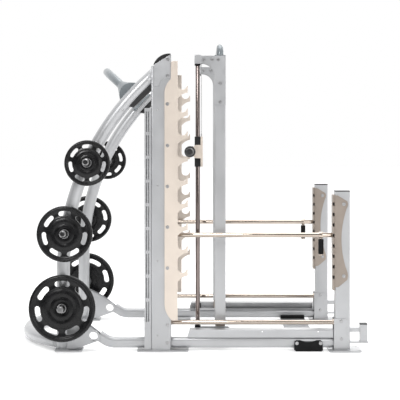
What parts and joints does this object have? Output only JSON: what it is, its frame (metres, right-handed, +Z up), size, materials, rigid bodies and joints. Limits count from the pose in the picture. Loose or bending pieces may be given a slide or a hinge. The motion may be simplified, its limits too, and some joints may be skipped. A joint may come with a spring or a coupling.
{
  "type": "smith machine",
  "caption": "Guided barbell machine: bar on vertical rods in a rolling shuttle, toothed rack plates, safety rods, curved plate storage tubes and open front posts.",
  "frame": {"origin": "middle of the machine's footprint box, on the floor", "axes": "+X towards the open front posts, +Y towards the right side, +Z up"},
  "size_m": [2.444, 2.15, 2.1029],
  "materials": {
    "silver_paint": "metallic silver powder coat",
    "arch_paint": "blue-grey metallic powder coat",
    "satin_nickel": "champagne satin nickel",
    "bronze_nickel": "darker satin nickel",
    "chrome": "polished chrome",
    "black_paint": "black satin coat",
    "black_plastic": "moulded black nylon",
    "black_rubber": "black rubber",
    "zinc": "zinc plated",
    "cast_weight": "bare cast iron"
  },
  "bodies": {
    "frame": {"column_left": "silver_paint", "column_right": "silver_paint", "column_covers": "silver_paint", "column_heads": "silver_paint", "rack_plate_left": "satin_nickel", "rack_plate_right": "satin_nickel", "storage_tube_left": "silver_paint", "storage_tube_right": "silver_paint", "tube_saddles": "black_paint", "rear_top_arch": "arch_paint", "storage_horns": "chrome", "foot_plates": "silver_paint", "rear_brackets": "silver_paint", "rear_base_tubes": "silver_paint", "rear_floor_bow": "silver_paint", "front_base_tubes": "silver_paint", "slide_channels": "silver_paint", "lower_stop_rods": "chrome", "floor_cross_plate": "silver_paint", "rubber_end_pads": "black_rubber", "front_post_left": "silver_paint", "front_post_right": "silver_paint", "slot_plate_left": "bronze_nickel", "slot_plate_right": "bronze_nickel", "corner_plates": "silver_paint", "anchor_stubs": "silver_paint", "tube_caps": "black_plastic", "frame_bolts": "zinc"},
    "shuttle": {"shuttle_post_left": "silver_paint", "shuttle_post_right": "silver_paint", "gusset_plates": "silver_paint", "rod_head_blocks": "silver_paint", "guide_rods": "chrome", "rod_bumpers": "black_rubber", "shuttle_arch": "arch_paint", "trolleys": "silver_paint", "post_feet": "bronze_nickel", "wheel_axles": "zinc", "shuttle_bolts": "zinc", "lift_cables": "zinc"},
    "front_wheels": {"front_wheels": "black_plastic"},
    "rear_wheels": {"rear_wheels": "black_plastic"},
    "front_pulleys": {"front_pulleys": "black_plastic"},
    "rear_pulleys": {"rear_pulleys": "black_plastic"},
    "counterweights": {"counterweights": "cast_weight"},
    "bar": {"bar_shaft": "black_paint", "carriage_plates": "satin_nickel", "bearing_blocks": "black_plastic"},
    "sleeve_left": {"sleeve_left": "black_paint"},
    "sleeve_right": {"sleeve_right": "black_paint"},
    "safety_rod_left": {"safety_rod_left": "chrome", "safety_grip_left": "black_rubber"},
    "safety_rod_right": {"safety_rod_right": "chrome", "safety_grip_right": "black_rubber"},
    "plate_large_left": {"plate_large_left": "black_rubber"},
    "plate_large_right": {"plate_large_right": "black_rubber"},
    "plate_medium_left": {"plate_medium_left": "black_rubber"},
    "plate_medium_right": {"plate_medium_right": "black_rubber"},
    "plate_small_left": {"plate_small_left": "black_rubber"},
    "plate_small_right": {"plate_small_right": "black_rubber"}
  },
  "joints": [
    {"name": "shuttle_roll", "type": "slide", "parent": "frame", "child": "shuttle", "axis": [1, 0, 0], "range_m": [-0.05, 0.65]},
    {"name": "bar_travel", "type": "slide", "parent": "shuttle", "child": "bar", "axis": [0, 0, -1], "range_m": [-0.4356, 0.538], "deforming": ["lift_cables"]},
    {"name": "counterweight_travel", "type": "slide", "parent": "shuttle", "child": "counterweights", "axis": [0, 0, -1], "range_m": [-0.54, 0.436]},
    {"name": "front_pulley_spin", "type": "hinge", "parent": "shuttle", "child": "front_pulleys", "pos_m": [0.104, 0, 1.99], "axis": [0, 1, 0], "continuous": true},
    {"name": "rear_pulley_spin", "type": "hinge", "parent": "shuttle", "child": "rear_pulleys", "pos_m": [0.203, 0, 1.99], "axis": [0, 1, 0], "continuous": true},
    {"name": "front_wheel_spin", "type": "hinge", "parent": "shuttle", "child": "front_wheels", "pos_m": [0.242, 0, 0.117], "axis": [0, 1, 0], "continuous": true},
    {"name": "rear_wheel_spin", "type": "hinge", "parent": "shuttle", "child": "rear_wheels", "pos_m": [0.112, 0, 0.117], "axis": [0, 1, 0], "continuous": true},
    {"name": "sleeve_spin_left", "type": "hinge", "parent": "bar", "child": "sleeve_left", "pos_m": [0.009, -0.9, 1.354], "axis": [0, 1, 0], "continuous": true},
    {"name": "sleeve_spin_right", "type": "hinge", "parent": "bar", "child": "sleeve_right", "pos_m": [0.009, 0.9, 1.354], "axis": [0, 1, 0], "continuous": true},
    {"name": "safety_pull_left", "type": "slide", "parent": "frame", "child": "safety_rod_left", "axis": [1, 0, 0], "range_m": [-0.025, 0], "stiffness_N_per_m": 500, "springref_m": 0.004},
    {"name": "safety_pull_right", "type": "slide", "parent": "frame", "child": "safety_rod_right", "axis": [1, 0, 0], "range_m": [-0.025, 0], "stiffness_N_per_m": 500, "springref_m": 0.004},
    {"name": "large_off_left", "type": "slide", "parent": "frame", "child": "plate_large_left", "axis": [0, -0.9976, 0.0698], "range_m": [0, 0.25]},
    {"name": "large_off_right", "type": "slide", "parent": "frame", "child": "plate_large_right", "axis": [0, 0.9976, 0.0698], "range_m": [0, 0.25]},
    {"name": "medium_off_left", "type": "slide", "parent": "frame", "child": "plate_medium_left", "axis": [0, -0.9976, 0.0698], "range_m": [0, 0.25]},
    {"name": "medium_off_right", "type": "slide", "parent": "frame", "child": "plate_medium_right", "axis": [0, 0.9976, 0.0698], "range_m": [0, 0.25]},
    {"name": "small_off_left", "type": "slide", "parent": "frame", "child": "plate_small_left", "axis": [0, -0.9976, 0.0698], "range_m": [0, 0.25]},
    {"name": "small_off_right", "type": "slide", "parent": "frame", "child": "plate_small_right", "axis": [0, 0.9976, 0.0698], "range_m": [0, 0.25]}
  ],
  "couplings": [
    {"joint": "counterweight_travel", "follows": "bar_travel", "ratio": -1},
    {"joint": "front_pulley_spin", "follows": "bar_travel", "rad_per_m": -57.143},
    {"joint": "rear_pulley_spin", "follows": "bar_travel", "rad_per_m": -57.143},
    {"joint": "front_wheel_spin", "follows": "shuttle_roll", "rad_per_m": 44.053},
    {"joint": "rear_wheel_spin", "follows": "shuttle_roll", "rad_per_m": 44.053}
  ]
}
